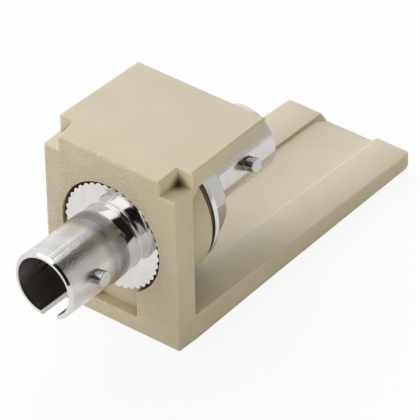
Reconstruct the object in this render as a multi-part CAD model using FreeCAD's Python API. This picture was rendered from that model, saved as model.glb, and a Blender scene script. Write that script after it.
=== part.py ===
import FreeCAD, Part
import math
import os

os.makedirs("parts", exist_ok=True)

# A snap-in panel module that carries an ST style bayonet coupler for two fibre plugs.
# +Y runs along the coupler from the front of the panel to the back, +X is to the right as seen
# from the front, and +Z is up. The origin is the middle of the alignment sleeve.
# All sizes are in millimetres.

# Barrels of the coupler, the same at both ends
coupler_len = 30.0          # mouth to mouth
bore_d = 6.0
barrel_wall = 0.5
bore_depth = 5.0
mouth_chamfer = 0.22
mouth_break = 0.08
key_slot_w = 2.0
key_slot_len = 4.6
coupler_turn = 10.3         # degrees that the lugs stand above level, seen from the front

# Bayonet lugs, pressed into the barrels
lug_d = 1.48
lug_reach = 1.07            # how far a lug stands out of its barrel
lug_inset = 0.05            # how far its flat inner end stops short of the bore
lug_break = 0.1
front_lug_back = 3.57       # from the mouth to the lug
rear_lug_back = 4.25

# Collar, neck, toothed flange and threaded shank of the front half
neck_len = 1.6              # from the collar to the flange
collar_len = 1.8
collar_lip = 0.1            # how far the collar's front edge stands out of the barrel
collar_round = 0.12         # length over which that edge rises
flange_lip = 0.8075         # from the shank to the tips of the flange's teeth
flange_t = 1.0
flange_teeth = 40
flange_tooth_h = 0.2
flange_tip_share = 0.35     # of the pitch, flat at a tooth's tip
shank_d = 9.525
shank_chamfer = 0.3
spigot_len = 4.6            # how far the rear barrel sits in the shank

# Split sleeve that lines up the two ferrules, and its chamber
sleeve_bore_d = 2.5
sleeve_wall = 0.35
sleeve_len = 11.4
sleeve_slit = 0.4
sleeve_gap = 0.1
ferrule_gap = 0.2

# Front wall of the housing
front_reach = 9.6           # how far the front barrel stands out of the wall
front_w = 15.6
body_w = 15.7
front_draft = 0.36          # how much lower the top is at its front edge
wall_t = 2.54
crown_front_w = 12.05       # raised middle between the two corner notches
crown_rear_w = 12.4
notch_h = 1.84
ear_draft = 0.1
wall_edge_r = 0.25          # around the front and along the crown

# Top plate
top_t = 1.94
plate_gap = 0.31            # between the boss or nut and the top plate
top_len = 13.6              # from the front face
top_rear_w = 15.16
rib_c = 0.96                # corner rib under the plate
edge_r = 0.2

# Latch arm
arm_len = 36.1              # from the front face
arm_root_t = 2.74
arm_gap = 0.17              # between the boss or nut and the rails
arm_tip_t = 2.05
arm_tip_w = 14.9
arm_tip_r = 0.5
arm_toe_r = 0.8
channel_root_w = 6.4
channel_tip_w = 6.9
channel_d = 0.28
channel_slant = 0.02        # how far the channel's sides lean in
ramp_len = 1.2
ramp_drop = 0.3
ramp_flare = 0.7            # how far the ramp's sides slant in at the tip

# Recess, pocket and boss around the coupler
flange_gap = 0.24           # around the flange's teeth
recess_depth = 1.2
pocket_w = 5.8
pocket_foot = 1.75          # from the base to the pocket
pocket_r = 0.35
boss_rim = 0.14             # how far the boss reaches past the flat washer
boss_len = 4.05
boss_edge = 0.15
shoulder_wall = 1.2875      # of the narrower shoulder, from the shank's hole
shoulder_len = 0.55
hole_gap = 0.1

# Washers and nut
washer_wall = 1.9175        # from its bore to its rim
washer_t = 0.54
lock_inset = 0.48           # how far the toothed washer stays inside the flat one
lock_t = 0.28
lock_teeth = 48
lock_tooth_h = 0.3
lock_tip_share = 0.2
nut_wall = 0.7925           # from the thread to a flat
nut_t = 2.3
nut_turn = 13.0
nut_front_chamfer = 0.18
nut_rear_chamfer = 1.1
nut_rim_inset = 0.085       # how far the chamfer bites into the flats
nut_proud = 0.25            # how far the nut stands past the end of the shank
thread_gap = 0.05

over_run = 1.0              # how far a cut runs on past what it cuts

# Radii and widths of pieces that fit each other
bore_r = bore_d / 2
barrel_r = bore_r + barrel_wall
collar_r = barrel_r + collar_lip
lug_root_r = bore_r + lug_inset
lug_tip_r = barrel_r + lug_reach
shank_r = shank_d / 2
flange_r = shank_r + flange_lip
recess_r = flange_r + flange_gap
hole_r = shank_r + hole_gap
thread_r = shank_r + thread_gap
washer_r = thread_r + washer_wall
lock_r = washer_r - lock_inset
boss_r = washer_r + boss_rim
shoulder_r = hole_r + shoulder_wall
sleeve_r = sleeve_bore_d / 2 + sleeve_wall
chamber_r = sleeve_r + sleeve_gap
ferrule_r = sleeve_bore_d / 2 + ferrule_gap
nut_flat_r = shank_r + nut_wall
nut_corner_r = nut_flat_r / math.cos(math.pi / 6)
nut_rim_r = nut_flat_r - nut_rim_inset
stack_r = max(boss_r, nut_corner_r)

# Stations along the axis
mouth_y = coupler_len / 2
floor_y = mouth_y - bore_depth
face_y = -mouth_y + front_reach
seat_y = face_y + recess_depth
flange_y = seat_y - flange_t
neck_y = flange_y - neck_len
collar_y = neck_y - collar_len
parting_y = face_y + wall_t
boss_y = parting_y + boss_len
shoulder_y = boss_y + shoulder_len
washer_y = shoulder_y + washer_t
lock_y = washer_y + lock_t
nut_y = lock_y + nut_t
shank_y = nut_y - nut_proud
spigot_y = shank_y - spigot_len
chamber_y = sleeve_len / 2 + sleeve_gap
top_y = face_y + top_len
arm_y = face_y + arm_len

# Heights from the axis
base_z = -(stack_r + arm_gap + arm_root_t)
plate_z = stack_r + plate_gap
top_z = plate_z + top_t
ear_z = top_z - notch_h

AXIS = FreeCAD.Vector(0, 1, 0)
NEAR = 0.01                 # what counts as level when edges are picked
ORIGIN = FreeCAD.Vector(0, 0, 0)


def vec(x, y, z):
    return FreeCAD.Vector(x, y, z)


def polygon(points):
    """A flat face inside the closed outline of the points."""
    return Part.Face(Part.makePolygon(list(points) + [points[0]]))


def turned(profile):
    """A solid of revolution about the coupler's axis from (radius, y) points."""
    face = polygon([vec(r, y, 0) for r, y in profile])
    return face.revolve(ORIGIN, AXIS, 360)


def turned_about(shape, degrees):
    """A copy turned about the axis, counter-clockwise as seen from the front."""
    copy = shape.copy()
    copy.rotate(ORIGIN, AXIS, -degrees)
    return copy


def rectangle(y, x_lo, x_hi, z_lo, z_hi):
    """An upright rectangular wire across the axis."""
    corners = [vec(x_lo, y, z_lo), vec(x_hi, y, z_lo), vec(x_hi, y, z_hi), vec(x_lo, y, z_hi)]
    return Part.makePolygon(corners + [corners[0]])


def slab(side, plan):
    """A plate with a side outline of (y, z) points and a plan of (half width, y) points."""
    reach = 2 * max(half for half, y in plan)
    profile = polygon([vec(-reach, y, z) for y, z in side])
    along = profile.extrude(vec(2 * reach, 0, 0))
    z_lo = min(z for y, z in side) - over_run
    z_hi = max(z for y, z in side) + over_run
    right = [vec(half, y, z_lo) for half, y in plan]
    left = [vec(-half, y, z_lo) for half, y in reversed(plan)]
    across = polygon(right + left).extrude(vec(0, 0, z_hi - z_lo))
    return along.common(across)


def toothed_disc(tip_r, tooth_h, tip_share, teeth, y_lo, y_hi):
    """A disc whose rim has V notches between flat tooth tips."""
    pitch = 2 * math.pi / teeth
    corners = ((tip_r - tooth_h, 0), (tip_r, (1 - tip_share) / 2), (tip_r, (1 + tip_share) / 2))
    outline = []
    for k in range(teeth):
        for r, turn in corners:
            angle = (k + turn) * pitch
            outline.append(vec(r * math.cos(angle), y_lo, r * math.sin(angle)))
    return polygon(outline).extrude(vec(0, y_hi - y_lo, 0))


def mouth_profile(end):
    """The outside of a barrel at its mouth, for the front (end -1) or the rear (end 1)."""
    lip_y = end * mouth_y
    return [(barrel_r - mouth_chamfer, lip_y), (barrel_r, lip_y - end * mouth_chamfer)]


def passage(end, inner_y):
    """The hollow of one half: chamber, ferrule hole and the bore that takes the plug."""
    lip_y = end * mouth_y
    past_y = lip_y + end * over_run
    lip_r = bore_r + mouth_break
    return turned([
        (0, inner_y),
        (chamber_r, inner_y),
        (chamber_r, end * chamber_y),
        (ferrule_r, end * chamber_y),
        (ferrule_r, end * floor_y),
        (bore_r, end * floor_y),
        (bore_r, lip_y - end * mouth_break),
        (lip_r, lip_y),
        (lip_r, past_y),
        (0, past_y),
    ])


def key_slot(end):
    """The round-ended slot in the bottom of a barrel that takes the plug's key."""
    past_y = end * (mouth_y + over_run)
    round_y = end * (mouth_y - key_slot_len + key_slot_w / 2)
    half = key_slot_w / 2
    low = -2 * barrel_r
    run = Part.makeBox(key_slot_w, abs(past_y - round_y), -low, vec(-half, min(round_y, past_y), low))
    nose = Part.makeCylinder(half, -low, vec(0, round_y, low))
    return run.fuse(nose)


def lug_y(end):
    back = front_lug_back if end < 0 else rear_lug_back
    return end * (mouth_y - back)


def lug_holes(end):
    """The cross holes for a pair of lugs."""
    start = vec(-2 * barrel_r, lug_y(end), 0)
    return Part.makeCylinder(lug_d / 2, 4 * barrel_r, start, vec(1, 0, 0))


def lug(end, side):
    """One bayonet lug, flat inside and with its outer edge broken."""
    radius = lug_d / 2
    profile = [
        vec(lug_root_r, 0, 0),
        vec(lug_root_r, radius, 0),
        vec(lug_tip_r - lug_break, radius, 0),
        vec(lug_tip_r, radius - lug_break, 0),
        vec(lug_tip_r, 0, 0),
    ]
    stud = polygon(profile).revolve(ORIGIN, vec(1, 0, 0), 360)
    if side < 0:
        stud.rotate(ORIGIN, AXIS, 180)
    stud.translate(vec(0, lug_y(end), 0))
    return turned_about(stud, coupler_turn)


def front_body():
    """Slotted barrel, collar, toothed flange and threaded shank, turned from one bar."""
    outside = [(0, -mouth_y)] + mouth_profile(-1) + [
        (barrel_r, collar_y),
        (collar_r, collar_y + collar_round),
        (barrel_r, neck_y),
        (barrel_r, flange_y),
        (shank_r, flange_y),
        (shank_r, shank_y - shank_chamfer),
        (shank_r - shank_chamfer, shank_y),
        (0, shank_y),
    ]
    bar = turned(outside)
    flange = toothed_disc(flange_r, flange_tooth_h, flange_tip_share, flange_teeth, flange_y, seat_y)
    socket = Part.makeCylinder(barrel_r, spigot_len + over_run, vec(0, spigot_y, 0), AXIS)
    body = bar.fuse(flange)
    body = body.cut([passage(-1, spigot_y + over_run), socket, key_slot(-1), lug_holes(-1)])
    return turned_about(body.removeSplitter(), coupler_turn)


def rear_body():
    """The rear barrel, a plain tube with a slot, pressed into the shank."""
    outside = [(0, spigot_y), (barrel_r, spigot_y)] + mouth_profile(1)[::-1] + [(0, mouth_y)]
    tube = turned(outside)
    tube = tube.cut([passage(1, spigot_y - over_run), key_slot(1), lug_holes(1)])
    return turned_about(tube, coupler_turn)


def alignment_sleeve():
    """The split sleeve, slit along its top."""
    start = vec(0, -sleeve_len / 2, 0)
    tube = Part.makeCylinder(sleeve_r, sleeve_len, start, AXIS)
    bore = Part.makeCylinder(sleeve_bore_d / 2, sleeve_len, start, AXIS)
    slit_at = vec(-sleeve_slit / 2, -sleeve_len / 2, 0)
    slit = Part.makeBox(sleeve_slit, sleeve_len, 2 * sleeve_r, slit_at)
    return tube.cut([bore, slit])


def ring(outer, y_lo, y_hi):
    """A washer from a disc, bored to pass the shank."""
    bore = Part.makeCylinder(thread_r, y_hi - y_lo, vec(0, y_lo, 0), AXIS)
    return outer.cut(bore)


def flat_washer():
    disc = Part.makeCylinder(washer_r, washer_t, vec(0, shoulder_y, 0), AXIS)
    return ring(disc, shoulder_y, washer_y)


def lock_washer():
    disc = toothed_disc(lock_r, lock_tooth_h, lock_tip_share, lock_teeth, washer_y, lock_y)
    return ring(disc, washer_y, lock_y)


def hex_nut():
    """A thin hexagon nut, its corners chamfered a little in front and strongly behind."""
    corners = []
    for k in range(6):
        angle = math.radians(nut_turn + 60 * k)
        corners.append(vec(nut_corner_r * math.cos(angle), lock_y, nut_corner_r * math.sin(angle)))
    prism = polygon(corners).extrude(vec(0, nut_t, 0))
    cones = turned([
        (0, lock_y),
        (nut_corner_r - nut_front_chamfer, lock_y),
        (nut_corner_r, lock_y + nut_front_chamfer),
        (nut_corner_r, nut_y - nut_rear_chamfer),
        (nut_rim_r, nut_y),
        (0, nut_y),
    ])
    return ring(prism.common(cones), lock_y, nut_y)


def front_wall():
    """The drafted front wall with its two notched top corners."""
    front = rectangle(face_y, -front_w / 2, front_w / 2, base_z, top_z - front_draft)
    back = rectangle(parting_y, -body_w / 2, body_w / 2, base_z, top_z)
    wall = Part.makeLoft([front, back], True, True)
    for side in (-1, 1):
        outer = side * body_w
        near = sorted((side * crown_front_w / 2, outer))
        far = sorted((side * crown_rear_w / 2, outer))
        notch_front = rectangle(face_y, near[0], near[1], ear_z - ear_draft, top_z + over_run)
        notch_back = rectangle(parting_y, far[0], far[1], ear_z, top_z + over_run)
        wall = wall.cut(Part.makeLoft([notch_front, notch_back], True, True))
    ridges = [e for e in wall.Edges if e.BoundBox.ZMin > ear_z + NEAR and e.BoundBox.YLength > NEAR]
    rim = [e for e in wall.Edges if e.BoundBox.YMax < face_y + NEAR]
    return wall.makeFillet(wall_edge_r, ridges + rim)


def top_plate():
    """The top plate with the rib in its inner corner, narrower to the rear."""
    side = [
        (parting_y, plate_z - rib_c),
        (parting_y, top_z),
        (top_y, top_z),
        (top_y, plate_z),
        (parting_y + rib_c, plate_z),
    ]
    plate = slab(side, [(body_w / 2, parting_y), (top_rear_w / 2, top_y)])
    upper = [e for e in plate.Edges if e.BoundBox.ZMin > top_z - NEAR]
    outer = [e for e in upper if e.BoundBox.YMax > parting_y + NEAR]
    return plate.makeFillet(edge_r, outer)


def arm_top(y):
    """Height of the rails at a station along the arm."""
    fall = (arm_root_t - arm_tip_t) / (arm_y - parting_y)
    return base_z + arm_root_t - fall * (y - parting_y)


def channel_section(y, floor_half, depth):
    """The channel's outline across the arm, reaching up past the rails."""
    fall = (channel_tip_w - channel_root_w) / (arm_y - parting_y)
    half = (channel_root_w + fall * (y - parting_y)) / 2
    rail_z = arm_top(y)
    over_z = base_z + 2 * arm_root_t
    corners = [
        vec(-half, y, over_z),
        vec(-half, y, rail_z),
        vec(floor_half - half, y, rail_z - depth),
        vec(half - floor_half, y, rail_z - depth),
        vec(half, y, rail_z),
        vec(half, y, over_z),
    ]
    return Part.makePolygon(corners + [corners[0]])


def latch_arm():
    """The latch arm: two rails with a shallow channel that ramps down at the tip."""
    side = [
        (parting_y, base_z),
        (parting_y, arm_top(parting_y)),
        (arm_y, arm_top(arm_y)),
        (arm_y, base_z),
    ]
    arm = slab(side, [(body_w / 2, parting_y), (arm_tip_w / 2, arm_y)])
    tip = [e for e in arm.Edges if e.BoundBox.YMin > arm_y - NEAR]
    upright = [e for e in tip if e.BoundBox.XLength < NEAR]
    arm = arm.makeFillet(arm_tip_r, upright)
    foot = [e for e in arm.Edges if e.BoundBox.ZMax < base_z + NEAR]
    toe = [e for e in foot if e.BoundBox.YMin > arm_y - arm_tip_r - NEAR]
    arm = arm.makeFillet(arm_toe_r, toe)
    ramp_y = arm_y - ramp_len
    root = channel_section(parting_y, channel_slant, channel_d)
    brink = channel_section(ramp_y, channel_slant, channel_d)
    end = channel_section(arm_y, ramp_flare, channel_d + ramp_drop)
    channel = Part.makeLoft([root, brink], True, True)
    ramp = Part.makeLoft([brink, end], True, True)
    return arm.cut([channel, ramp])


def boss():
    """The round boss behind the wall, with a narrower shoulder for the washer."""
    return turned([
        (0, seat_y),
        (boss_r, (seat_y + parting_y) / 2),
        (boss_r, boss_y - boss_edge),
        (boss_r - boss_edge, boss_y),
        (shoulder_r, boss_y),
        (shoulder_r, shoulder_y),
        (0, shoulder_y),
    ])


def coupler_seat():
    """The round recess, the pocket below it and the hole for the shank, as one cutter."""
    start_y = face_y - over_run
    start = vec(0, start_y, 0)
    recess = Part.makeCylinder(recess_r, seat_y - start_y, start, AXIS)
    foot_z = base_z + pocket_foot
    pocket = Part.makeBox(pocket_w, seat_y - start_y, -foot_z, vec(-pocket_w / 2, start_y, foot_z))
    foot = [e for e in pocket.Edges if e.BoundBox.ZMax < foot_z + NEAR]
    lower = [e for e in foot if e.BoundBox.YLength > recess_depth]
    pocket = pocket.makeFillet(pocket_r, lower)
    hole = Part.makeCylinder(hole_r, shoulder_y + over_run - start_y, start, AXIS)
    return recess.fuse([pocket, hole])


def housing():
    """The whole plastic moulding."""
    body = front_wall().fuse([top_plate(), latch_arm(), boss()])
    return body.cut(coupler_seat()).removeSplitter()


pieces = {
    "housing": housing(),
    "front_body": front_body(),
    "rear_body": rear_body(),
    "alignment_sleeve": alignment_sleeve(),
    "front_lug_right": lug(-1, 1),
    "front_lug_left": lug(-1, -1),
    "rear_lug_right": lug(1, 1),
    "rear_lug_left": lug(1, -1),
    "flat_washer": flat_washer(),
    "lock_washer": lock_washer(),
    "hex_nut": hex_nut(),
}

for name, shape in pieces.items():
    shape.exportStep(f"parts/{name}.step")
    print(name, len(shape.Solids), shape.isValid(), round(shape.Volume, 2))
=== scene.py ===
import math

import bpy
from mathutils import Matrix, Vector


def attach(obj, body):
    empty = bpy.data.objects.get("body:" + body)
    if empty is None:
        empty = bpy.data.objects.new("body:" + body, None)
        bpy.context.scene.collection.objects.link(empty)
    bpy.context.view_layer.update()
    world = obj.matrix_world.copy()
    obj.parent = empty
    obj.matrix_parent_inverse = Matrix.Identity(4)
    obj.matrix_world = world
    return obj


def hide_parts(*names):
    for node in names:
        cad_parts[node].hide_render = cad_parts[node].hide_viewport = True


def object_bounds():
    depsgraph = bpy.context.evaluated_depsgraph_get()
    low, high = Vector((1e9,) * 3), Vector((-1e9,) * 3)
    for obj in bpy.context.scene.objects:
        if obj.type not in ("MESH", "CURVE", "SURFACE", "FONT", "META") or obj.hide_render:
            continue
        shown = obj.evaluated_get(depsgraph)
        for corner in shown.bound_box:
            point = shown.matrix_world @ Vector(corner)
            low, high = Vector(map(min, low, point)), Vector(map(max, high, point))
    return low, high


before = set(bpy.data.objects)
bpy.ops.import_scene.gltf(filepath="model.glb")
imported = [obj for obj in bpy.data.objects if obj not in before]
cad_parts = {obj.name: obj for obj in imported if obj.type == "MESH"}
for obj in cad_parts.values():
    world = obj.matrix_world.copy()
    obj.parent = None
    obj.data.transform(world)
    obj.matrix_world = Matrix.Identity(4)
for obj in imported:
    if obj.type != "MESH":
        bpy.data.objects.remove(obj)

cad_low, cad_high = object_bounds()

# Housing. One injection moulding in ivory plastic: a front wall with a round recess, a top plate,
# a boss for the washers and a long latch arm. Its edges are shaded round and lightened with a
# painted highlight, it gets painted shade where other surfaces are near and darker painted shade in
# its creases, its gaps and the inner corner of each notch, the front is spark eroded to a fine matt
# grain and the rest is smoother.
MM = 0.001


def deselect():
    bpy.ops.object.select_all(action="DESELECT")


def make_active(piece):
    deselect()
    piece.select_set(True)
    bpy.context.view_layer.objects.active = piece


def pick(piece, chosen):
    """Opens a piece for editing with only the chosen points selected, by place in millimetres."""
    make_active(piece)
    bpy.ops.object.mode_set(mode="EDIT")
    bpy.ops.mesh.select_mode(type="VERT")
    bpy.ops.mesh.select_all(action="DESELECT")
    bpy.ops.object.mode_set(mode="OBJECT")
    for vertex in piece.data.vertices:
        vertex.select = chosen(vertex.co / MM)
    bpy.ops.object.mode_set(mode="EDIT")


def finish_edges(piece, width, segments, limit, smooth):
    """Rounds the sharp edges of a piece and shades the soft ones smooth. Angles in degrees."""
    make_active(piece)
    bevel = piece.modifiers.new("edges", "BEVEL")
    bevel.width = width * MM
    bevel.segments = segments
    bevel.limit_method = "ANGLE"
    bevel.angle_limit = math.radians(limit)
    bpy.ops.object.modifier_apply(modifier=bevel.name)
    bpy.ops.object.shade_smooth_by_angle(angle=math.radians(smooth))


same_place = 0.001 * MM
flat_enough = 0.5


def merge_faces(piece):
    """Merges loose triangles into plain faces."""
    make_active(piece)
    bpy.ops.object.mode_set(mode="EDIT")
    bpy.ops.mesh.select_all(action="SELECT")
    bpy.ops.mesh.remove_doubles(threshold=same_place)
    bpy.ops.mesh.dissolve_degenerate(threshold=same_place)
    bpy.ops.mesh.dissolve_limited(angle_limit=math.radians(flat_enough))
    bpy.ops.object.mode_set(mode="OBJECT")


def merged_copy(node, name):
    """A new piece from a node's mesh, its loose triangles merged into plain faces."""
    piece = bpy.data.objects.new(name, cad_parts[node].data.copy())
    bpy.context.scene.collection.objects.link(piece)
    make_active(piece)
    bpy.ops.mesh.customdata_custom_splitnormals_clear()
    merge_faces(piece)
    return piece


def dress(piece, material, slot, *nodes):
    """Gives a finished piece its material, hangs it from the root and hides the nodes that it stands
    for.
    The slot is not used.
    """
    piece.data.materials.clear()
    piece.data.materials.append(material)
    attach(piece, "root")
    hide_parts(*nodes)


def new_material(name):
    """An empty node material: its nodes, its links and its shader."""
    material = bpy.data.materials.new(name)
    material.use_nodes = True
    nodes = material.node_tree.nodes
    return material, nodes, material.node_tree.links, nodes["Principled BSDF"]


def grain(nodes, links, coords, scale, detail, roughness):
    """Noise on stretched Object coordinates. The scale is in features a millimetre, per axis."""
    mapping = nodes.new("ShaderNodeMapping")
    mapping.inputs["Scale"].default_value = [s / MM for s in scale]
    links.new(coords.outputs["Object"], mapping.inputs["Vector"])
    noise = nodes.new("ShaderNodeTexNoise")
    noise.inputs["Scale"].default_value = 1.0
    noise.inputs["Detail"].default_value = detail
    noise.inputs["Roughness"].default_value = roughness
    links.new(mapping.outputs["Vector"], noise.inputs["Vector"])
    return noise


def ramp_between(nodes, links, source, low, high, from_low=0.3, from_high=0.7):
    """A number that follows the source from low to high."""
    spread = nodes.new("ShaderNodeMapRange")
    spread.inputs["From Min"].default_value = from_low
    spread.inputs["From Max"].default_value = from_high
    spread.inputs["To Min"].default_value = low
    spread.inputs["To Max"].default_value = high
    links.new(source, spread.inputs["Value"])
    return spread.outputs["Result"]


def ramp_over(nodes, links, source, low, high, span):
    """A number that follows the source from low to high over a span in millimetres."""
    return ramp_between(nodes, links, source, low, high, span[0] * MM, span[1] * MM)


def tint_between(nodes, links, source, low, high):
    """A colour that follows the source from low to high, each of them a colour or a socket."""
    tint = nodes.new("ShaderNodeMix")
    tint.data_type = "RGBA"
    links.new(source, tint.inputs["Factor"])
    for end, colour in (("A", low), ("B", high)):
        if isinstance(colour, tuple):
            tint.inputs[end].default_value = (*colour, 1)
        else:
            links.new(colour, tint.inputs[end])
    return tint.outputs["Result"]


def combined(nodes, links, operation, *sources):
    """What a Math operation makes of one or two numbers."""
    maths = nodes.new("ShaderNodeMath")
    maths.operation = operation
    for k, source in enumerate(sources):
        links.new(source, maths.inputs[k])
    return maths.outputs[0]


def split_place(nodes, links, coords):
    """The three parts of a texture coordinate."""
    parts = nodes.new("ShaderNodeSeparateXYZ")
    links.new(coords, parts.inputs["Vector"])
    return parts.outputs


housing_edge = 0.04
front_y = -5.4
notch_corner = (6.2, -2.86, 7.28)
arm_base_z = -9.78
arm_root_y = -2.86
arm_root_half = 7.85
arm_round = 0.8
near = 0.01


def in_arm_round(place, side):
    """Whether a point of the rounding under the arm lies on the wall, right (1) or left (-1)."""
    on_wall = abs(place.y - arm_root_y) < near
    low = place.z < arm_base_z + arm_round - near
    outside = side * place.x > arm_root_half - arm_round - near
    return on_wall and low and outside


# The rounding of the toe runs on along the arm's lower side edges, and is squared at the wall.
housing = merged_copy("housing", "ivory_housing")
for side in (1, -1):
    pick(housing, lambda place: in_arm_round(place, side))
    bpy.ops.transform.resize(value=(0, 1, 1), center_override=(side * arm_root_half * MM, 0, 0))
    bpy.ops.object.mode_set(mode="OBJECT")
merge_faces(housing)
finish_edges(housing, width=housing_edge, segments=2, limit=50, smooth=40)

ivory_tones = ((0.530, 0.456, 0.302), (0.560, 0.484, 0.330))
# Painted highlight: convex edges are lightened towards this colour.
edge_highlight_tone = (0.72, 0.65, 0.475)
shade_tone = (0.47, 0.375, 0.20)
# Painted shade: creases and gaps are darkened towards this brown.
crevice_shade_tone = (0.17, 0.075, 0.014)
# Painted shade: the inner corner of each notch is darkened towards this near black.
corner_shade_tone = (0.035, 0.016, 0.004)
cloud_scale = 0.35
spark_scale = 4.6
spark_depth = 0.24
spark_front = 1.0
spark_behind = 0.12
spark_end = (front_y + 0.05, front_y + 0.3)
edge_highlight_reach = 0.22
edge_round = 0.2
shade_reach = 11.0
crevice_shade_reach = 2.4
crevice_shade_from = (arm_base_z + 1.0, arm_base_z + 3.0)
corner_shade_span = (0.25, 1.3)
edge_highlight_share = 0.8
edge_highlight_open = (0.6, 1.0)
shade_share = 0.6
shade_open = (0.15, 0.5)
crevice_shade_open = (0.30, 0.66)
ivory_rough = (0.38, 0.55)
ivory, nodes, links, shader = new_material("moulded_ivory")
coords = nodes.new("ShaderNodeTexCoord")
place = split_place(nodes, links, coords.outputs["Object"])
cloud = grain(nodes, links, coords, [cloud_scale] * 3, 3, 0.5)
spark = grain(nodes, links, coords, [spark_scale] * 3, 2, 0.5)


def open_share(reach, inside=False):
    """How free a spot is of other surfaces within a reach, outside or inside the plastic."""
    around = nodes.new("ShaderNodeAmbientOcclusion")
    around.inputs["Distance"].default_value = reach * MM
    around.inside = inside
    return around.outputs["AO"]


folded = nodes.new("ShaderNodeCombineXYZ")
links.new(combined(nodes, links, "ABSOLUTE", place["X"]), folded.inputs["X"])
links.new(place["Y"], folded.inputs["Y"])
links.new(place["Z"], folded.inputs["Z"])
to_corner = nodes.new("ShaderNodeVectorMath")
to_corner.operation = "DISTANCE"
to_corner.inputs[1].default_value = [c * MM for c in notch_corner]
links.new(folded.outputs["Vector"], to_corner.inputs[0])
# Painted highlight on convex edges, where rays into the plastic soon meet its other side.
on_edge_highlight = ramp_between(nodes, links, open_share(edge_highlight_reach, inside=True), edge_highlight_share, 0, *edge_highlight_open)
in_shade = ramp_between(nodes, links, open_share(shade_reach), shade_share, 0, *shade_open)
# Painted shade in creases and gaps where other surfaces are near, fading out towards the floor.
in_crevice_shade = combined(
    nodes, links, "MULTIPLY",
    ramp_between(nodes, links, open_share(crevice_shade_reach), 1, 0, *crevice_shade_open),
    ramp_over(nodes, links, place["Z"], 0, 1, crevice_shade_from))
# Painted shade at the inner corner of each notch, by distance from it, on both sides.
in_corner_shade = ramp_over(nodes, links, to_corner.outputs["Value"], 1, 0, corner_shade_span)
ivory_shade = tint_between(
    nodes, links, ramp_between(nodes, links, cloud.outputs["Fac"], 0, 1), *ivory_tones)
for factor, tone in (
        (on_edge_highlight, edge_highlight_tone),
        (in_shade, shade_tone),
        (in_crevice_shade, crevice_shade_tone),
        (in_corner_shade, corner_shade_tone)):
    ivory_shade = tint_between(nodes, links, factor, ivory_shade, tone)
links.new(ivory_shade, shader.inputs["Base Color"])
links.new(ramp_between(nodes, links, spark.outputs["Fac"], *ivory_rough), shader.inputs["Roughness"])
shader.inputs["Specular IOR Level"].default_value = 0.8
rounded = nodes.new("ShaderNodeBevel")
rounded.inputs["Radius"].default_value = edge_round * MM
bump = nodes.new("ShaderNodeBump")
bump.inputs["Distance"].default_value = spark_depth * MM
links.new(rounded.outputs["Normal"], bump.inputs["Normal"])
links.new(
    ramp_over(nodes, links, place["Y"], spark_front, spark_behind, spark_end), bump.inputs["Strength"])
links.new(spark.outputs["Fac"], bump.inputs["Height"])
links.new(bump.outputs["Normal"], shader.inputs["Normal"])
dress(housing, ivory, "ivory_plastic", "housing")

# Front half of the coupler. Turned from one brass bar and nickel plated: a slotted bayonet barrel
# with a grainy tumbled skin, a low collar, a polished neck and flange with a toothed rim, and a
# shank that passes through the wall.
coupler_turn = 10.3
bore_r = 3.0
barrel_r = 3.5
mouth_y = 15.0
mouth_chamfer = 0.22
mouth_break = 0.03
bore_depth = 5.0
key_slot_w = 2.0
key_slot_len = 4.6
collar_y = -8.6
collar_lip = 0.1
collar_rise = 0.25
neck_y = -6.8
neck_step = 0.02
neck_root = 0.05
turned_lines = (-5.62, -5.42)
turned_line_w = 0.035
flange_y = -5.2
flange_t = 1.0
flange_r = 5.57
flange_teeth = 40
flange_corners = 6
flange_tooth_h = 0.2
flange_tooth_side = 0.6 * flange_tooth_h
flange_in_shank = 0.5
shank_r = 4.7625
shank_y = 4.61
shank_chamfer = 0.3
spigot_y = 0.01
chamber_r = 1.7
chamber_y = 5.8
ferrule_r = 1.45
lug_r = 0.74
lug_reach = 1.07
lug_from_mouth = {-1: 3.57, 1: 4.25}
turned_steps = 180
same_point = 0.0005 * MM
axis_r = 0.001
past = 1.0


def arc(centre, radius, start, end, steps):
    """Outline points on an arc about (radius, y), angles in degrees from outwards to +Y."""
    points = []
    for k in range(steps + 1):
        angle = math.radians(start + (end - start) * k / steps)
        points.append((centre[0] + radius * math.cos(angle), centre[1] + radius * math.sin(angle)))
    return points


def turned(name, outline, steps=turned_steps):
    """Spins a closed outline of (radius, y) points, in millimetres, about the coupler's axis."""
    deselect()
    bpy.ops.mesh.primitive_plane_add(size=MM)
    piece = bpy.context.object
    piece.name = name
    bpy.ops.object.mode_set(mode="EDIT")
    bpy.ops.mesh.select_all(action="SELECT")
    bpy.ops.mesh.merge(type="CENTER")
    here = Vector((outline[0][0] * MM, outline[0][1] * MM, 0))
    bpy.ops.transform.translate(value=here)
    for radius, y in list(outline[1:]) + [outline[0]]:
        there = Vector((radius * MM, y * MM, 0))
        bpy.ops.mesh.extrude_region_move(TRANSFORM_OT_translate={"value": there - here})
        here = there
    bpy.ops.mesh.select_all(action="SELECT")
    bpy.ops.mesh.remove_doubles(threshold=same_point)
    bpy.ops.mesh.spin(steps=steps, angle=2 * math.pi, center=(0, 0, 0), axis=(0, 1, 0))
    bpy.ops.mesh.select_all(action="SELECT")
    bpy.ops.mesh.remove_doubles(threshold=same_point)
    bpy.ops.mesh.normals_make_consistent(inside=False)
    bpy.ops.object.mode_set(mode="OBJECT")
    return piece


def combine(piece, other, operation):
    """Joins, cuts or intersects a piece with another, which is used up."""
    make_active(piece)
    boolean = piece.modifiers.new("combine", "BOOLEAN")
    boolean.operation = operation
    boolean.solver = "EXACT"
    boolean.object = other
    bpy.ops.object.modifier_apply(modifier=boolean.name)
    bpy.data.objects.remove(other, do_unlink=True)


def plug(radius, y_low, y_high):
    """A plain cylinder on the axis that cuts a bore, a little longer than the bore at both ends."""
    start = y_low - past
    end = y_high + past
    return turned("plug", [(axis_r, start), (radius, start), (radius, end), (axis_r, end)])


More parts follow.
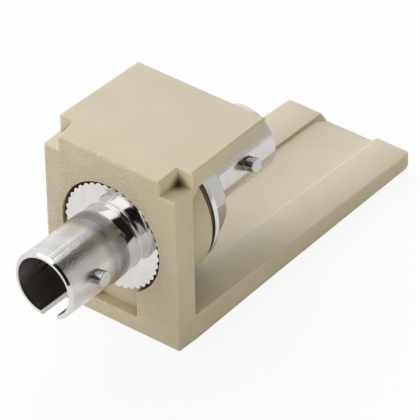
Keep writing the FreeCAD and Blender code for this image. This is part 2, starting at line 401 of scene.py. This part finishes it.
def toothed_disc(name, tip_r, teeth, corners, notch, y_low, y_high):
    """A disc with a toothed rim. The notch gives the depth at each corner of a tooth's pitch."""
    deselect()
    bpy.ops.mesh.primitive_circle_add(
        vertices=corners * teeth, radius=tip_r * MM, fill_type="NGON",
        location=(0, y_low * MM, 0), rotation=(math.pi / 2, 0, 0))
    disc = bpy.context.object
    disc.name = name
    bpy.ops.object.transform_apply(location=True, rotation=True)
    for corner, depth in notch.items():
        def at_corner(place):
            step = math.atan2(place.z, place.x) / (2 * math.pi) * corners * teeth
            return round(step) % corners == corner
        pick(disc, at_corner)
        size = (tip_r - depth) / tip_r
        bpy.ops.transform.resize(value=(size, 1, size), center_override=(0, y_low * MM, 0))
        bpy.ops.object.mode_set(mode="OBJECT")
    bpy.ops.object.mode_set(mode="EDIT")
    bpy.ops.mesh.select_all(action="SELECT")
    thickness = (0, (y_high - y_low) * MM, 0)
    bpy.ops.mesh.extrude_region_move(TRANSFORM_OT_translate={"value": thickness})
    bpy.ops.mesh.select_all(action="SELECT")
    bpy.ops.mesh.normals_make_consistent(inside=False)
    bpy.ops.object.mode_set(mode="OBJECT")
    return disc


def key_slot_cutter(end):
    """The round-ended cutter for the slot in the bottom of a barrel, front (-1) or rear (1)."""
    deselect()
    round_y = end * (mouth_y - key_slot_len + key_slot_w / 2)
    bpy.ops.mesh.primitive_cylinder_add(
        vertices=64, radius=key_slot_w / 2 * MM, depth=barrel_r * MM,
        location=(0, round_y * MM, -barrel_r * MM))
    cutter = bpy.context.object
    bpy.ops.object.transform_apply(location=True)
    pick(cutter, lambda place: end * (place.y - round_y) > near)
    bpy.ops.transform.translate(value=(0, end * key_slot_len * MM, 0))
    bpy.ops.object.mode_set(mode="OBJECT")
    return cutter


def lug_y(end):
    """How far along the axis a pair of lugs sits."""
    return end * (mouth_y - lug_from_mouth[end])


def lug_hole_cutter(end):
    """The round cutter for both cross holes of a barrel, front (-1) or rear (1)."""
    deselect()
    bpy.ops.mesh.primitive_cylinder_add(
        vertices=48, radius=lug_r * MM, depth=4 * barrel_r * MM,
        location=(0, lug_y(end) * MM, 0), rotation=(0, math.pi / 2, 0))
    return bpy.context.object


def turn_coupler(piece, degrees=coupler_turn):
    """Turns a piece with the coupler, counter-clockwise as seen from the front."""
    make_active(piece)
    piece.rotation_euler = (0, -math.radians(degrees), 0)
    bpy.ops.object.transform_apply(location=True, rotation=True, scale=True)


front_outline = [
    (bore_r + mouth_break, -mouth_y),
    (barrel_r - mouth_chamfer, -mouth_y),
    (barrel_r, -mouth_y + mouth_chamfer),
    (barrel_r, collar_y - collar_rise),
    (barrel_r + 0.2 * collar_lip, collar_y),
    (barrel_r + 0.7 * collar_lip, collar_y + collar_rise),
    (barrel_r + collar_lip, collar_y + 2 * collar_rise),
    (barrel_r + 0.6 * collar_lip, neck_y - neck_step),
    (barrel_r, neck_y),
]
for line_y in turned_lines:
    front_outline += [
        (barrel_r, line_y - turned_line_w),
        (barrel_r - turned_line_w / 2, line_y),
        (barrel_r, line_y + turned_line_w),
    ]
front_outline += arc((barrel_r + neck_root, flange_y - neck_root), neck_root, 180, 90, 4)
front_outline += [
    (shank_r, flange_y),
    (shank_r, shank_y - shank_chamfer),
    (shank_r - shank_chamfer, shank_y),
    (barrel_r, shank_y),
    (barrel_r, spigot_y),
    (chamber_r, spigot_y),
    (chamber_r, -chamber_y),
    (ferrule_r, -chamber_y),
    (ferrule_r, -mouth_y + bore_depth),
    (bore_r, -mouth_y + bore_depth),
    (bore_r, -mouth_y + mouth_break),
]
front_half = turned("coupler_front", front_outline)
flange_notch = {0: flange_tooth_h, 1: flange_tooth_side, flange_corners - 1: flange_tooth_side}
flange = toothed_disc(
    "flange", flange_r, flange_teeth, flange_corners, flange_notch, flange_y, flange_y + flange_t)
combine(flange, plug(shank_r - flange_in_shank, flange_y, flange_y + flange_t), "DIFFERENCE")
combine(front_half, flange, "UNION")
combine(front_half, key_slot_cutter(-1), "DIFFERENCE")
combine(front_half, lug_hole_cutter(-1), "DIFFERENCE")
turned_edge = dict(width=0.035, segments=2, limit=40, smooth=35)
finish_edges(front_half, **turned_edge)
turn_coupler(front_half)


def between(nodes, links, place, low_y, high_y, blur):
    """One from low_y to high_y along the axis and nought beyond, in millimetres."""
    rise = ramp_over(nodes, links, place, 0, 1, (low_y - blur, low_y + blur))
    fall = ramp_over(nodes, links, place, 1, 0, (high_y - blur, high_y + blur))
    return combined(nodes, links, "MULTIPLY", rise, fall)


def blended(nodes, links, source, low, high):
    """A number that follows the source from one number or socket to another."""
    blend = nodes.new("ShaderNodeMix")
    links.new(source, blend.inputs["Factor"])
    for end, value in (("A", low), ("B", high)):
        if isinstance(value, float):
            blend.inputs[end].default_value = value
        else:
            links.new(value, blend.inputs[end])
    return blend.outputs["Result"]


plate_cloud_scale = (0.5, 0.8, 0.5)
plate_grain_scale = (5.5, 7.0, 5.5)
cloud_shade = 0.9
band_blur = 0.06
collar_dark_reflection_blur = 0.5
collar_dark_reflection_past = 0.1
core_blend = (0.01, 0.04)
turning_scale = 14.0
turning_depth = 0.01
turning_strength = 0.06
skin_depth = 0.06


def nickel_material(name, tone, polish, skin, core=None, tumbled=None):
    """Plate of one tone, with the range of its roughness and the strength of its grainy skin.

    The core inside a radius can be darker and duller, a painted shade in a bore and a painted dark
    reflection on a pin's side, and a band of the barrel tumbled, its part at the collar painted
    darker as a painted dark reflection."""
    plate, nodes, links, shader = new_material(name)
    coords = nodes.new("ShaderNodeTexCoord")
    place = split_place(nodes, links, coords.outputs["Object"])
    cloud = grain(nodes, links, coords, plate_cloud_scale, 3, 0.5)
    tumble = grain(nodes, links, coords, plate_grain_scale, 3, 0.65)
    flat = nodes.new("ShaderNodeVectorMath")
    flat.operation = "MULTIPLY"
    flat.inputs[1].default_value = (1, 0, 1)
    links.new(coords.outputs["Object"], flat.inputs[0])
    radius = nodes.new("ShaderNodeVectorMath")
    radius.operation = "LENGTH"
    links.new(flat.outputs["Vector"], radius.inputs[0])
    dark = tuple(c * cloud_shade for c in tone)
    shade = ramp_between(nodes, links, cloud.outputs["Fac"], 0, 1)
    colour = tint_between(nodes, links, shade, dark, tone)
    dull = ramp_between(nodes, links, tumble.outputs["Fac"], *polish)
    if tumbled:
        band = between(nodes, links, place["Y"], tumbled["low_y"], tumbled["high_y"], band_blur)
        rough = ramp_between(nodes, links, tumble.outputs["Fac"], *tumbled["rough"])
        dull = blended(nodes, links, band, dull, rough)
        skin = blended(nodes, links, band, skin, tumbled["skin"])
        # The part of the band from the collar to the neck is painted darker, a painted dark
        # reflection.
        collar_dark_reflection_end = tumbled["high_y"] + collar_dark_reflection_past
        collar_dark_reflection = between(nodes, links, place["Y"], tumbled["collar_dark_reflection_y"], collar_dark_reflection_end, collar_dark_reflection_blur)
        collar_dark_reflection_band = combined(nodes, links, "MULTIPLY", collar_dark_reflection, band)
        colour = tint_between(nodes, links, collar_dark_reflection_band, colour, tumbled["collar_dark_reflection_tone"])
    if core:
        # The core is painted darker: painted shade in a bore, a painted dark reflection on a pin's
        # side.
        core_edge = [core["radius"] + step for step in core_blend]
        inside = ramp_over(nodes, links, radius.outputs["Value"], 1, 0, core_edge)
        colour = tint_between(nodes, links, inside, colour, core["tone"])
        duller = nodes.new("ShaderNodeMath")
        duller.operation = "MULTIPLY_ADD"
        duller.inputs[1].default_value = core["dull"]
        links.new(inside, duller.inputs[0])
        links.new(dull, duller.inputs[2])
        dull = duller.outputs["Value"]
    links.new(colour, shader.inputs["Base Color"])
    links.new(dull, shader.inputs["Roughness"])
    shader.inputs["Metallic"].default_value = 1.0
    turning = nodes.new("ShaderNodeTexNoise")
    turning.noise_dimensions = "1D"
    turning.inputs["Scale"].default_value = turning_scale / MM
    turning.inputs["Detail"].default_value = 2.0
    links.new(radius.outputs["Value"], turning.inputs["W"])
    lines = nodes.new("ShaderNodeBump")
    lines.inputs["Strength"].default_value = turning_strength
    lines.inputs["Distance"].default_value = turning_depth * MM
    links.new(turning.outputs["Fac"], lines.inputs["Height"])
    bump = nodes.new("ShaderNodeBump")
    bump.inputs["Distance"].default_value = skin_depth * MM
    links.new(lines.outputs["Normal"], bump.inputs["Normal"])
    links.new(bump.outputs["Normal"], shader.inputs["Normal"])
    links.new(tumble.outputs["Fac"], bump.inputs["Height"])
    if tumbled:
        links.new(skin, bump.inputs["Strength"])
    else:
        bump.inputs["Strength"].default_value = skin
    return plate


# The bore is painted darker, as painted shade deep inside it, and made duller.
dull_bore_painted_shade = dict(radius=bore_r, tone=(0.27, 0.25, 0.225), dull=0.25)
# The tumbled band's tone at the collar is a painted dark reflection.
tumbled_band = dict(
    low_y=-mouth_y + mouth_chamfer, high_y=neck_y - 0.05, collar_dark_reflection_y=collar_y - 0.5,
    rough=(0.12, 0.25), skin=0.72, collar_dark_reflection_tone=(0.425, 0.42, 0.425))
nickel = nickel_material(
    "nickel_plate", tone=(0.75, 0.73, 0.705), polish=(0.06, 0.12), skin=0.02,
    core=dull_bore_painted_shade, tumbled=tumbled_band)
dress(front_half, nickel, "nickel", "front_body")

# Rear half of the coupler. A plain slotted tube, turned and plated like the front half and
# pressed into the shank. Its skin is duller.
rear_outline = [
    (barrel_r, spigot_y),
    (barrel_r, mouth_y - mouth_chamfer),
    (barrel_r - mouth_chamfer, mouth_y),
    (bore_r + mouth_break, mouth_y),
    (bore_r, mouth_y - mouth_break),
    (bore_r, mouth_y - bore_depth),
    (ferrule_r, mouth_y - bore_depth),
    (ferrule_r, chamber_y),
    (chamber_r, chamber_y),
    (chamber_r, spigot_y),
]
rear_half = turned("coupler_rear", rear_outline)
combine(rear_half, key_slot_cutter(1), "DIFFERENCE")
combine(rear_half, lug_hole_cutter(1), "DIFFERENCE")
finish_edges(rear_half, **turned_edge)
turn_coupler(rear_half)
rear_nickel = nickel_material(
    "nickel_plate_dull", tone=(0.73, 0.70, 0.675), polish=(0.22, 0.30), skin=0.05, core=dull_bore_painted_shade)
dress(rear_half, rear_nickel, "nickel", "rear_body")

# Bayonet lugs. Short ground pins of bright steel, pressed into the barrel walls, with a small
# round on the outer edge.
lug_break = 0.1
lug_inset = 0.05
pin_end_in = 0.03
lug_inner = bore_r + lug_inset
lug_outer = barrel_r + lug_reach
# The pin's side is painted dark, a painted dark reflection; its outer end stays bright.
pin_side_dark_reflection = dict(radius=lug_outer - lug_break - pin_end_in, tone=(0.30, 0.29, 0.27), dull=0.0)
bright = nickel_material(
    "bright_pin", tone=(0.60, 0.58, 0.56), polish=(0.05, 0.10), skin=0.03, core=pin_side_dark_reflection)
for end, half in ((-1, "front"), (1, "rear")):
    for side, hand in ((1, "right"), (-1, "left")):
        deselect()
        bpy.ops.mesh.primitive_cylinder_add(
            vertices=64, radius=lug_r * MM, depth=(lug_outer - lug_inner) * MM,
            location=((lug_outer + lug_inner) / 2 * MM, lug_y(end) * MM, 0),
            rotation=(0, math.pi / 2, 0))
        pin = bpy.context.object
        pin.name = f"lug_{half}_{hand}"
        bpy.ops.object.transform_apply(location=True, rotation=True)
        finish_edges(pin, width=lug_break, segments=3, limit=60, smooth=40)
        turn_coupler(pin, coupler_turn if side > 0 else coupler_turn + 180)
        dress(pin, bright, "bright_pin", f"{half}_lug_{hand}")

# Washers. A plain stamped ring under a thin lock washer with a toothed rim, both bright plated.
shoulder_y = 1.74
washer_y = 2.28
lock_y = 2.56
washer_r = 6.73
thread_r = 4.8125
lock_r = 6.25
lock_teeth = 48
lock_corners = 5
lock_tooth_h = 0.3
flat_ring = turned("washer_flat", [
    (thread_r, shoulder_y), (washer_r, shoulder_y), (washer_r, washer_y), (thread_r, washer_y)])
finish_edges(flat_ring, width=0.08, segments=3, limit=40, smooth=35)
washer_plate = nickel_material("washer_plate", tone=(0.78, 0.77, 0.75), polish=(0.10, 0.22), skin=0.05)
dress(flat_ring, washer_plate, "washer_plate", "flat_washer")

lock_notch = {0: lock_tooth_h, 1: lock_tooth_h / 2, lock_corners - 1: lock_tooth_h / 2}
lock_ring = toothed_disc("washer_lock", lock_r, lock_teeth, lock_corners, lock_notch, washer_y, lock_y)
combine(lock_ring, plug(thread_r, washer_y, lock_y), "DIFFERENCE")
finish_edges(lock_ring, width=0.03, segments=2, limit=40, smooth=35)
dress(lock_ring, washer_plate, "washer_plate", "lock_washer")

# Nut. A thin hexagon nut from bright plated bar, its corners chamfered a little in front and
# strongly behind, tightened against the lock washer.
nut_turn = 13.0
nut_y = 4.86
nut_flat_r = 5.555
nut_corner_r = nut_flat_r / math.cos(math.pi / 6)
nut_rim_r = 5.47
nut_front_chamfer = 0.18
nut_rear_chamfer = 1.1
nut_bore_chamfer = 0.2
deselect()
bpy.ops.mesh.primitive_cylinder_add(
    vertices=6, radius=nut_corner_r * MM, depth=(nut_y - lock_y) * MM,
    location=(0, (nut_y + lock_y) / 2 * MM, 0), rotation=(math.pi / 2, 0, 0))
nut = bpy.context.object
nut.name = "nut"
bpy.ops.object.transform_apply(location=True, rotation=True)
first = max(nut.data.vertices, key=lambda v: v.co.x)
first_turn = math.degrees(math.atan2(first.co.z, first.co.x))
turn_coupler(nut, nut_turn - first_turn)
cones = turned("cones", [
    (thread_r + nut_bore_chamfer, lock_y),
    (nut_corner_r - nut_front_chamfer, lock_y),
    (nut_corner_r, lock_y + nut_front_chamfer),
    (nut_corner_r, nut_y - nut_rear_chamfer),
    (nut_rim_r, nut_y),
    (thread_r + nut_bore_chamfer, nut_y),
    (thread_r, nut_y - nut_bore_chamfer),
    (thread_r, lock_y + nut_bore_chamfer)])
combine(nut, cones, "INTERSECT")
finish_edges(nut, width=0.03, segments=2, limit=18, smooth=9)
nut_plate = nickel_material("nut_plate", tone=(0.76, 0.75, 0.74), polish=(0.16, 0.26), skin=0.06)
dress(nut, nut_plate, "nut_plate", "hex_nut")

# Alignment sleeve. Rolled phosphor bronze, slit along its top so that it grips two ferrules.
sleeve_bore_r = 1.25
sleeve_r = 1.6
sleeve_half = 5.7
sleeve_slit = 0.4
sleeve_steps = 96
sleeve_outline = [
    (sleeve_bore_r, -sleeve_half),
    (sleeve_r, -sleeve_half),
    (sleeve_r, sleeve_half),
    (sleeve_bore_r, sleeve_half)]
sleeve = turned("split_sleeve", sleeve_outline, sleeve_steps)
deselect()
bpy.ops.mesh.primitive_cube_add(
    size=1, location=(0, 0, sleeve_r * MM),
    scale=(sleeve_slit * MM, 3 * sleeve_half * MM, 2 * sleeve_r * MM))
combine(sleeve, bpy.context.object, "DIFFERENCE")
finish_edges(sleeve, width=0.05, segments=2, limit=40, smooth=35)
bronze = nickel_material("phosphor_bronze", tone=(0.66, 0.44, 0.24), polish=(0.2, 0.34), skin=0.06)
dress(sleeve, bronze, "bronze", "alignment_sleeve")

# Stage. A pale floor just under the latch arm, which in reflections glows with a painted light that
# fades from left to right, a studio whose soft light comes from three sides, a key lamp that only
# shiny surfaces show, two black cards that only they mirror, and the camera where the photographer
# stood.
floor_gap = 0.02
floor_size = 4
floor_white = 0.9
floor_mirrored_painted_light = (0.9, 0.45)
floor_mirrored_painted_light_x = (-15.0, 15.0)
deselect()
bpy.ops.mesh.primitive_plane_add(size=floor_size, location=(0, 0, cad_low.z - floor_gap * MM))
floor = bpy.context.object
floor.name = "floor"
bpy.ops.object.transform_apply(location=True)
paper, nodes, links, shader = new_material("paper")
path = nodes.new("ShaderNodeLightPath")
coords = nodes.new("ShaderNodeTexCoord")
place = split_place(nodes, links, coords.outputs["Object"])
shader.inputs["Base Color"].default_value = (0.8, 0.8, 0.8, 1)
shader.inputs["Roughness"].default_value = 1.0
shader.inputs["Specular IOR Level"].default_value = 0.0
glow = nodes.new("ShaderNodeEmission")
glow.inputs["Strength"].default_value = 1.0
blend = nodes.new("ShaderNodeMixShader")
seen = ramp_between(nodes, links, path.outputs["Is Camera Ray"], 0, floor_white, 0, 1)
# As mirrored, the floor glows with painted light, bright on the left and fading to painted shade on
# the right.
mirrored = combined(
    nodes, links, "MULTIPLY",
    path.outputs["Is Glossy Ray"],
    ramp_over(nodes, links, place["X"], *floor_mirrored_painted_light, floor_mirrored_painted_light_x))
links.new(combined(nodes, links, "MAXIMUM", seen, mirrored), blend.inputs["Fac"])
links.new(shader.outputs["BSDF"], blend.inputs[1])
links.new(glow.outputs["Emission"], blend.inputs[2])
links.new(blend.outputs["Shader"], nodes["Material Output"].inputs["Surface"])
floor.data.materials.append(paper)

soft_sides = (
    ((-0.7, 0.5, 0.5), (3.94, 4.03, 4.32)),
    ((-0.7, -0.6, 0.4), (2.36, 2.32, 2.33)),
    ((0.7, -0.6, 0.4), (1.96, 1.90, 1.64)))
soft_focus = 5.0
mirrored_side = (-0.6, -0.3, 0.75)
mirrored_strength = (0.5, 1.0)
mirrored_turn = (-0.6, 0.3)
mirrored_tones = ((1.0, 0.985, 0.95), (0.97, 0.99, 1.06))
world = bpy.data.worlds.new("studio")
bpy.context.scene.world = world
world.use_nodes = True
nodes, links = world.node_tree.nodes, world.node_tree.links
path = nodes.new("ShaderNodeLightPath")
sky = nodes.new("ShaderNodeTexCoord")
height = split_place(nodes, links, sky.outputs["Generated"])["Z"]


def towards(direction):
    """How far the sky's direction points along a given one, from -1 to 1."""
    along = nodes.new("ShaderNodeVectorMath")
    along.operation = "DOT_PRODUCT"
    along.inputs[1].default_value = Vector(direction).normalized()
    links.new(sky.outputs["Generated"], along.inputs[0])
    return along.outputs["Value"]


soft = None
for direction, colour in soft_sides:
    lobe = nodes.new("ShaderNodeMath")
    lobe.operation = "POWER"
    lobe.inputs[1].default_value = soft_focus
    links.new(ramp_between(nodes, links, towards(direction), 0, 1, 0, 1), lobe.inputs[0])
    light = nodes.new("ShaderNodeVectorMath")
    light.operation = "SCALE"
    light.inputs[0].default_value = colour
    links.new(lobe.outputs[0], light.inputs["Scale"])
    if soft:
        total = nodes.new("ShaderNodeVectorMath")
        total.operation = "ADD"
        links.new(soft, total.inputs[0])
        links.new(light.outputs[0], total.inputs[1])
        soft = total.outputs[0]
    else:
        soft = light.outputs[0]
sharp = nodes.new("ShaderNodeVectorMath")
sharp.operation = "SCALE"
links.new(
    tint_between(nodes, links, ramp_between(nodes, links, height, 0, 1, 0, 1), *mirrored_tones),
    sharp.inputs[0])
links.new(
    ramp_between(nodes, links, towards(mirrored_side), *mirrored_strength, *mirrored_turn),
    sharp.inputs["Scale"])
studio = tint_between(nodes, links, path.outputs["Is Glossy Ray"], soft, sharp.outputs[0])
direct = combined(
    nodes, links, "MAXIMUM", path.outputs["Is Camera Ray"], path.outputs["Is Transmission Ray"])
links.new(tint_between(nodes, links, direct, studio, (1, 1, 1)), nodes["Background"].inputs["Color"])
nodes["Background"].inputs["Strength"].default_value = 1.0


def aimed(holder, place, aim, along=(0, 0, 1)):
    """Places a lamp or a card, in millimetres, facing a point, with its height along a direction."""
    back = (Vector(place) - Vector(aim)).normalized()
    side = Vector(along).cross(back).normalized()
    turn = Matrix((side, back.cross(side), back)).transposed().to_4x4()
    size = Matrix.Diagonal((*holder.scale, 1))
    holder.matrix_world = Matrix.Translation(Vector(place) * MM) @ turn @ size


key_size = 380
key_power = 0.36
key_place = (-150, -220, 350)
key_aim = (0, 5, 0)
lamp = bpy.data.lights.new("key", "AREA")
lamp.size = key_size * MM
lamp.energy = key_power
key = bpy.data.objects.new("key", lamp)
bpy.context.scene.collection.objects.link(key)
aimed(key, key_place, key_aim)
key.visible_diffuse = False

felt, nodes, links, shader = new_material("black_felt")
shader.inputs["Base Color"].default_value = (0.004, 0.004, 0.004, 1)
shader.inputs["Roughness"].default_value = 1.0
shader.inputs["Specular IOR Level"].default_value = 0.0
for name, place, width, height, along in (
        ("card_front", (208, -280, 152), 430, 600, (0, 0, 1)),
        ("card_top", (146, 57, 345), 290, 760, (0, 1, 0))):
    deselect()
    bpy.ops.mesh.primitive_plane_add(size=MM)
    card = bpy.context.object
    card.name = name
    card.scale = (width, height, 1)
    aimed(card, place, (0, 0, 0), along)
    card.data.materials.append(felt)
    card.visible_camera = False
    card.visible_diffuse = False
    card.visible_transmission = False
    card.visible_shadow = False

azimuth = math.radians(39.567)
elevation = math.radians(36.192)
roll = math.radians(-1.313)
distance = 470.1
aim = Vector((1.669, 7.060, -3.435))
back = Vector((
    math.sin(azimuth) * math.cos(elevation),
    -math.cos(azimuth) * math.cos(elevation),
    math.sin(elevation)))
level_right = (-back).cross(Vector((0, 0, 1))).normalized()
level_up = level_right.cross(-back)
right = math.cos(roll) * level_right + math.sin(roll) * level_up
up = -math.sin(roll) * level_right + math.cos(roll) * level_up
lens = bpy.data.cameras.new("camera")
lens.lens = 428.57
lens.sensor_width = 36.0
lens.clip_start = 10 * MM
lens.clip_end = 10000 * MM
camera = bpy.data.objects.new("camera", lens)
bpy.context.scene.collection.objects.link(camera)
turn = Matrix((right, up, back)).transposed().to_4x4()
camera.matrix_world = Matrix.Translation((aim + back * distance) * MM) @ turn
bpy.context.scene.camera = camera
bpy.context.scene.view_settings.view_transform = "Standard"
